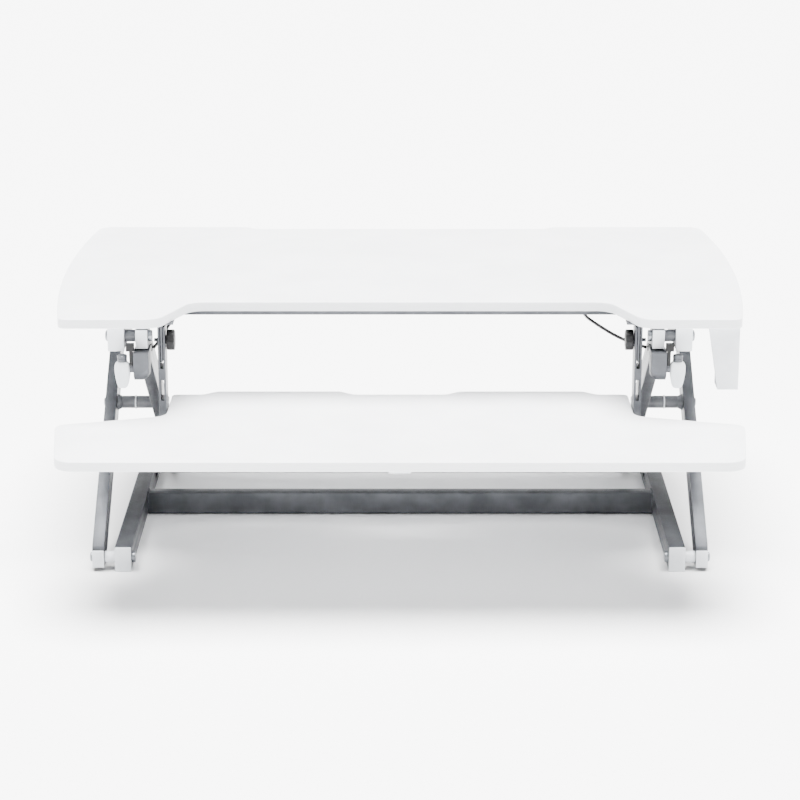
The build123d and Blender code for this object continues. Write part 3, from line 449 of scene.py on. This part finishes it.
def makeKnob(side, s):
    nodeName = "tray_knob_" + side
    low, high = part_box(nodeName)
    sign = 1 if side == "right" else -1
    centre = Vector((0, (low.y + high.y) / 2, (low.z + high.z) / 2))
    inner = low.x if sign > 0 else -high.x
    outer = high.x if sign > 0 else -low.x
    turn = Matrix.Translation(centre) @ Matrix.Rotation(math.pi / 2, 4, "Y")

    bm = bmesh.new()
    ring = bmesh.ops.create_circle(bm, cap_ends=True, segments=s["gripSteps"],
                                   radius=s["gripRadiusMm"] * mm)["verts"]
    for v in ring:
        angle = math.atan2(v.co.y, v.co.x)
        inward = 0.5 * (1 - math.cos(s["lobes"] * angle))
        v.co.xy *= 1 - inward * s["lobeDepthMm"] / s["gripRadiusMm"]
    grown = bmesh.ops.extrude_face_region(bm, geom=bm.faces[:])["geom"]
    top = [g for g in grown if isinstance(g, bmesh.types.BMVert)]
    bmesh.ops.translate(bm, verts=top, vec=(0, 0, s["gripLengthMm"] * mm))
    bmesh.ops.recalc_face_normals(bm, faces=bm.faces)
    roundEdges(bm, s["edgeRadiusMm"], s["edgeSegments"])
    # the grip's free face is the one big face that looks straight down before the knob is turned
    face = [f for f in bm.faces if f.normal.z < -0.99 and len(f.verts) > 8]
    bmesh.ops.inset_region(bm, faces=face, thickness=s["faceRimMm"] * mm, use_even_offset=True)
    bmesh.ops.inset_region(bm, faces=face, thickness=s["faceRecessMm"] * mm, depth=-s["faceRecessMm"] * mm)
    neck = bmesh.ops.create_cone(bm, cap_ends=True, segments=s["neckSteps"],
                                 radius1=s["neckRadiusMm"] * mm * s["neckFlare"],
                                 radius2=s["neckRadiusMm"] * mm, depth=s["neckLengthMm"] * mm)["verts"]
    bmesh.ops.translate(bm, verts=neck, vec=(0, 0, (s["gripLengthMm"] + s["neckLengthMm"] / 2) * mm))
    bmesh.ops.transform(bm, matrix=turn, verts=bm.verts)
    bmesh.ops.translate(bm, verts=bm.verts, vec=(inner, 0, 0))
    mirrorIf(bm, side)
    grip = finishMesh(bm, nodeName + "_grip", ("blackAbs",))
    placePiece(grip, "knob_" + side, [nodeName])

    # the stud's thread is a stack of shallow V rings
    start = inner + (s["gripLengthMm"] + s["neckLengthMm"]) * mm
    pitch = s["threadPitchMm"] * mm
    count = int((outer - start) / pitch)
    crest = s["studRadiusMm"] * mm
    root = crest - s["threadDepthMm"] * mm
    points = [(start, 0.0), (start, root)]
    for i in range(count):
        points += [(start + (i + 0.5) * pitch, crest), (start + (i + 1) * pitch, root)]
    points.append((start + count * pitch, 0.0))
    bm = bmesh.new()
    verts = [bm.verts.new((x * sign, centre.y, centre.z + r)) for x, r in points]
    edges = [bm.edges.new(pair) for pair in zip(verts, verts[1:])]
    bmesh.ops.spin(bm, geom=verts + edges, cent=centre, axis=(1, 0, 0), angle=2 * math.pi,
                   steps=s["studSteps"], use_merge=True)
    bmesh.ops.remove_doubles(bm, verts=bm.verts, dist=meshSettings["spinMergeMm"] * mm)
    bmesh.ops.recalc_face_normals(bm, faces=bm.faces)
    stud = finishMesh(bm, nodeName + "_stud", ("zincPlatedSteel",))
    placePiece(stud, "knob_" + side, [])


for side in ("left", "right"):
    makeKnob(side, knobSettings)
print("knobs done")

# Release levers: an oval moulded paddle under a painted collar, on a tube with a black crank

paddleSettings = {
    "centreXMm": 415.0,
    "centreYMm": -195.0,
    # height, half width and half depth of the sections of the paddle
    "sections": [(296, 3.6, 3.0), (296.6, 5.2, 4.0), (298.2, 6.9, 4.9), (301, 8.2, 5.5),
                 (306, 9.5, 5.8), (313, 10.8, 6.0), (320, 11.7, 6.0), (326, 12.0, 6.0),
                 (330.5, 11.6, 6.0), (333.8, 10.5, 5.9), (335.8, 9.0, 5.6), (336.7, 7.8, 5.2),
                 (337, 6.8, 4.8)],
    "squareness": 2.7,  # 2 is an ellipse, and more is squarer
    "ringPoints": 56,
    "smoothAngle": 50,
    # height and radius of the sections of the collar
    "collar": [(336.8, 6.8), (337.3, 7.2), (341.2, 7.2), (341.6, 6.7), (342.2, 6.7), (342.6, 7.4),
               (346.2, 7.4), (347.0, 6.7)],
}


def leverRing(centreX, centreY, z, halfWidth, halfDepth, squareness, count):
    # one level section of the paddle or the collar, as points in metres
    ring = []
    for i in range(count):
        angle = 2 * math.pi * i / count
        across, along = math.cos(angle), math.sin(angle)
        x = halfWidth * math.copysign(abs(across) ** (2 / squareness), across)
        y = halfDepth * math.copysign(abs(along) ** (2 / squareness), along)
        ring.append(((centreX + x) * mm, (centreY + y) * mm, z * mm))
    return ring


def makePaddle(side, s):
    sign = 1 if side == "right" else -1
    centreX = sign * s["centreXMm"]
    bm = bmesh.new()
    loftRings(bm, [leverRing(centreX, s["centreYMm"], z, halfWidth, halfDepth, s["squareness"],
                             s["ringPoints"]) for z, halfWidth, halfDepth in s["sections"]])
    paddle = finishMesh(bm, "lever_grip_" + side + "_paddle", ("paleGreyAbs",), s["smoothAngle"])
    placePiece(paddle, "lever_" + side, ["lever_grip_" + side])
    bm = bmesh.new()
    loftRings(bm, [leverRing(centreX, s["centreYMm"], z, radius, radius, 2, s["ringPoints"])
                   for z, radius in s["collar"]])
    collar = finishMesh(bm, "lever_grip_" + side + "_collar", ("silverPowderCoat",))
    placePiece(collar, "lever_" + side, [])


crankSettings = {
    # inner and outer end along X, and radius
    "tube": (398.3, 403.6, 7.0),
    "pin": (386.5, 399.0, 3.0),
    "axisYMm": -195.0,
    "axisZMm": 327.0,
    "rodSteps": 48,
    "rodEdgeMm": 0.3,
    "rodEdgeSegments": 2,
    # side view of the blade as (y, z), and its two faces along X
    "bladeOutline": [(-200, 329), (-202.5, 346), (-204.5, 358), (-196, 358), (-191, 345), (-189.5, 329)],
    "bladeX": (398.7, 403.9),
    # two opposite corners of the head
    "headLow": (396.2, -205.0, 354.5),
    "headHigh": (408.4, -195.5, 366.0),
    "edgeMm": 0.7,
}


def addRod(bm, inner, outer, y, z, radius, steps):
    middle = Matrix.Translation(((inner + outer) / 2 * mm, y * mm, z * mm))
    bmesh.ops.create_cone(bm, cap_ends=True, segments=steps, radius1=radius * mm, radius2=radius * mm,
                          depth=(outer - inner) * mm, matrix=middle @ Matrix.Rotation(math.pi / 2, 4, "Y"))


def makeCrank(side, s):
    bm = bmesh.new()
    loftRings(bm, [[(x * mm, y * mm, z * mm) for y, z in s["bladeOutline"]] for x in s["bladeX"]])
    addBox(bm, s["headLow"], s["headHigh"])
    roundEdges(bm, s["edgeMm"])
    mirrorIf(bm, side)
    blade = finishMesh(bm, "lever_crank_" + side + "_blade", ("blackAbs",))
    placePiece(blade, "lever_" + side, ["lever_crank_" + side])
    bm = bmesh.new()
    for inner, outer, radius in (s["tube"], s["pin"]):
        addRod(bm, inner, outer, s["axisYMm"], s["axisZMm"], radius, s["rodSteps"])
    roundEdges(bm, s["rodEdgeMm"], s["rodEdgeSegments"])
    mirrorIf(bm, side)
    tube = finishMesh(bm, "lever_crank_" + side + "_tube", ("silverPowderCoat",))
    placePiece(tube, "lever_" + side, [])


for side in ("left", "right"):
    makePaddle(side, paddleSettings)
    makeCrank(side, crankSettings)
print("levers done")

# Lever brackets: a pressed shoe round the leg's end with one rounded lower corner, and its front cover

bracketSettings = {
    "innerXMm": 375.0,
    "outerXMm": 398.0,
    "topZMm": 352.0,
    "cornerMm": 14.0,
    "cornerShare": 0.8,  # the corner takes no more than this share of a section's height
    "cornerSteps": 10,
    "smoothAngle": 28,
    # place along Y and lowest point of each section
    "shoe": [(-203.6, 321.5), (-199.0, 313.0), (-191.0, 307.5), (-176.0, 303.0), (-150.0, 334.5)],
    "cover": [(-204.0, 323.2), (-203.4, 322.4)],
    "coverInsetMm": 0.7,
}


def shoeRing(y, bottom, inset, s):
    innerX = s["innerXMm"] + inset
    outerX = s["outerXMm"] - inset
    top = s["topZMm"] - inset
    radius = min(s["cornerMm"], (top - bottom) * s["cornerShare"])
    ring = [(outerX, top), (innerX, top)]
    for step in range(s["cornerSteps"] + 1):
        angle = math.pi + 0.5 * math.pi * step / s["cornerSteps"]
        ring.append((innerX + radius * (1 + math.cos(angle)), bottom + radius * (1 + math.sin(angle))))
    ring.append((outerX, bottom))
    return [(x * mm, y * mm, z * mm) for x, z in ring]


def makeBrackets(s):
    bm = bmesh.new()
    loftRings(bm, [shoeRing(y, bottom, 0, s) for y, bottom in s["shoe"]])
    mirrorToLeft(bm)
    shoe = finishMesh(bm, "lever_brackets_shoe", ("silverPowderCoat",), s["smoothAngle"])
    placePiece(shoe, "inner_legs", ["lever_brackets"])
    bm = bmesh.new()
    loftRings(bm, [shoeRing(y, bottom, s["coverInsetMm"], s) for y, bottom in s["cover"]])
    mirrorToLeft(bm)
    cover = finishMesh(bm, "lever_brackets_cover", ("silverPowderCoat",), s["smoothAngle"])
    placePiece(cover, "inner_legs", [])
    print("brackets done")


makeBrackets(bracketSettings)

# Weld beads where the crossbar meets the base rails

weldSettings = {
    "radiusMm": 1.6,
    "rippleMm": 2.2,
    "rippleShare": 0.16,
    "ringsPerRipple": 4,
    "fewestRings": 6,
    "endShare": 0.35,  # thickness of a bead where it starts and stops
    "endSlope": 6,  # how steeply it swells from there, per share of its length
    "sides": 10,
    "smoothAngle": 60,
    "sinkMm": 0.6,  # how far the beads lie inside the ends of the crossbar
    "footMm": 2.0,  # where the upright beads stop above the crossbar's underside
}


def addBead(bm, start, end, s):
    run = end - start
    count = max(s["fewestRings"], int(run.length / (s["rippleMm"] * mm) * s["ringsPerRipple"]))
    turn = run.to_track_quat("Z", "Y").to_matrix().to_4x4()
    loop = None
    for i in range(count + 1):
        share = i / count
        along = share * run.length
        swell = 1 + s["rippleShare"] * math.sin(2 * math.pi * along / (s["rippleMm"] * mm))
        taper = min(1.0, s["endShare"] + s["endSlope"] * min(share, 1 - share))
        place = Matrix.Translation(start + run * share) @ turn
        ring = bmesh.ops.create_circle(bm, cap_ends=(i in (0, count)), segments=s["sides"],
                                       radius=s["radiusMm"] * mm * swell * taper, matrix=place)["verts"]
        edges = list(dict.fromkeys(e for v in ring for e in v.link_edges))
        if loop:
            bmesh.ops.bridge_loops(bm, edges=loop + edges)
        loop = edges


def makeWelds(s):
    low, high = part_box("base_crossbar")
    x = high.x - s["sinkMm"] * mm
    foot = low.z + s["footMm"] * mm
    corners = [Vector((x, y, z)) for y, z in (
        (low.y, foot), (low.y, high.z), (high.y, high.z), (high.y, foot))]
    bm = bmesh.new()
    for start, end in zip(corners, corners[1:]):
        addBead(bm, start, end, s)
    bmesh.ops.recalc_face_normals(bm, faces=bm.faces)
    mirrorToLeft(bm)
    piece = finishMesh(bm, "crossbar_weld_beads", ("silverPowderCoat",), s["smoothAngle"])
    placePiece(piece, "base", [])
    print("welds done")


makeWelds(weldSettings)

# Release cables: one smooth line each, held at the valve and at the leg's grommet

cableSettings = {
    "diameterMm": 5.0,
    "smoothAngle": 50,
    "alongSteps": 16,
    "roundSteps": 5,
    "order": 3,
    # from the valve to the grommet, in metres
    "routes": {
        "right": [(0.2870, 0.0005, 0.3625), (0.2890, -0.0200, 0.3610), (0.2970, -0.0440, 0.3600),
                  (0.3090, -0.0660, 0.3565), (0.3240, -0.0850, 0.3510), (0.3410, -0.1000, 0.3455),
                  (0.3570, -0.1130, 0.3420), (0.3735, -0.1290, 0.3410)],
        "left": [(-0.2855, 0.0215, 0.3665), (-0.2830, 0.0400, 0.3730), (-0.2860, 0.0560, 0.3820),
                 (-0.2970, 0.0660, 0.3865), (-0.3130, 0.0640, 0.3860), (-0.3290, 0.0500, 0.3800),
                 (-0.3410, 0.0260, 0.3690), (-0.3490, -0.0080, 0.3610), (-0.3550, -0.0420, 0.3580),
                 (-0.3600, -0.0740, 0.3535), (-0.3655, -0.1030, 0.3465), (-0.3735, -0.1290, 0.3410)],
    },
}


def makeCable(side, s):
    curve = bpy.data.curves.new("cableLine_" + side, "CURVE")
    curve.dimensions = "3D"
    curve.resolution_u = s["alongSteps"]
    curve.bevel_depth = s["diameterMm"] / 2 * mm
    curve.bevel_resolution = s["roundSteps"]
    curve.use_fill_caps = True
    spline = curve.splines.new("NURBS")
    route = s["routes"][side]
    spline.points.add(len(route) - 1)
    for point, place in zip(spline.points, route):
        point.co = (*place, 1.0)
    spline.order_u = s["order"]
    spline.use_endpoint_u = True
    drawn = bpy.data.objects.new("cableLine_" + side, curve)
    bpy.context.scene.collection.objects.link(drawn)
    bpy.context.view_layer.update()
    mesh = bpy.data.meshes.new_from_object(drawn.evaluated_get(bpy.context.evaluated_depsgraph_get()))
    bpy.data.objects.remove(drawn)
    bm = bmesh.new()
    bm.from_mesh(mesh)
    bmesh.ops.remove_doubles(bm, verts=bm.verts, dist=meshSettings["mergeMm"] * mm)
    piece = finishMesh(bm, "release_cable_" + side + "_finished", ("cableSheathPvc",), s["smoothAngle"])
    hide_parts("release_cable_" + side)
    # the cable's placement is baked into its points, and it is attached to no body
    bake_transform(piece)


for side in ("left", "right"):
    makeCable(side, cableSettings)
print("cables done")

# Floor, light and camera

# lengths in metres, angles in degrees
stageSettings = {
    "floorHalfSize": 60.0,
    "worldHex": "#ffffff",
    # the world's light by height: 0 is the horizon and 1 straight overhead
    "horizonStrength": 4.6,
    "zenithStrength": 0.35,
    "wallTop": 0.06,
    "ceilingStart": 0.22,
    "overheadStrength": 29.0,
    "overheadSpread": 44.0,
    "cameraPlace": (0.0, -3.890, 1.3635),
    "cameraPitch": 16.39,
    "fieldOfView": 17.72,
    "sensorWidthMm": 36.0,
}


def makeStage(s):
    bm = bmesh.new()
    bmesh.ops.create_grid(bm, x_segments=2, y_segments=2, size=s["floorHalfSize"])
    mesh = bpy.data.meshes.new("floor")
    bm.to_mesh(mesh)
    bm.free()
    mesh.materials.append(materials["studioPaper"])
    floor = bpy.data.objects.new("floor", mesh)
    bpy.context.scene.collection.objects.link(floor)

    world = bpy.data.worlds.new("studio")
    bpy.context.scene.world = world
    world.use_nodes = True
    background = world.node_tree.nodes["Background"]
    background.inputs["Color"].default_value = linearColour(s["worldHex"])
    # the studio's wall is lit low down and falls off to a dim ceiling
    direction = addNode(world, "TexCoord").outputs["Generated"]
    height = addNode(world, "SeparateXYZ", inputs={"Vector": direction}).outputs["Z"]
    falloff = addNode(world, "MapRange", inputs={
        "Value": height, "From Min": s["wallTop"], "From Max": s["ceilingStart"],
        "To Min": s["horizonStrength"], "To Max": s["zenithStrength"]})
    world.node_tree.links.new(falloff.outputs[0], background.inputs["Strength"])

    # a sun lamp with a wide spread stands for a large flat diffuser straight above
    light = bpy.data.lights.new("overheadDiffuser", "SUN")
    light.energy = s["overheadStrength"]
    light.angle = math.radians(s["overheadSpread"])
    lamp = bpy.data.objects.new("overheadDiffuser", light)
    bpy.context.scene.collection.objects.link(lamp)

    camera = bpy.data.cameras.new("camera")
    camera.sensor_width = s["sensorWidthMm"]
    camera.angle = math.radians(s["fieldOfView"])
    holder = bpy.data.objects.new("camera", camera)
    holder.location = s["cameraPlace"]
    holder.rotation_euler = (math.radians(90 - s["cameraPitch"]), 0, 0)
    bpy.context.scene.collection.objects.link(holder)
    bpy.context.scene.camera = holder
    print("stage done")


makeStage(stageSettings)

bpy.context.view_layer.update()
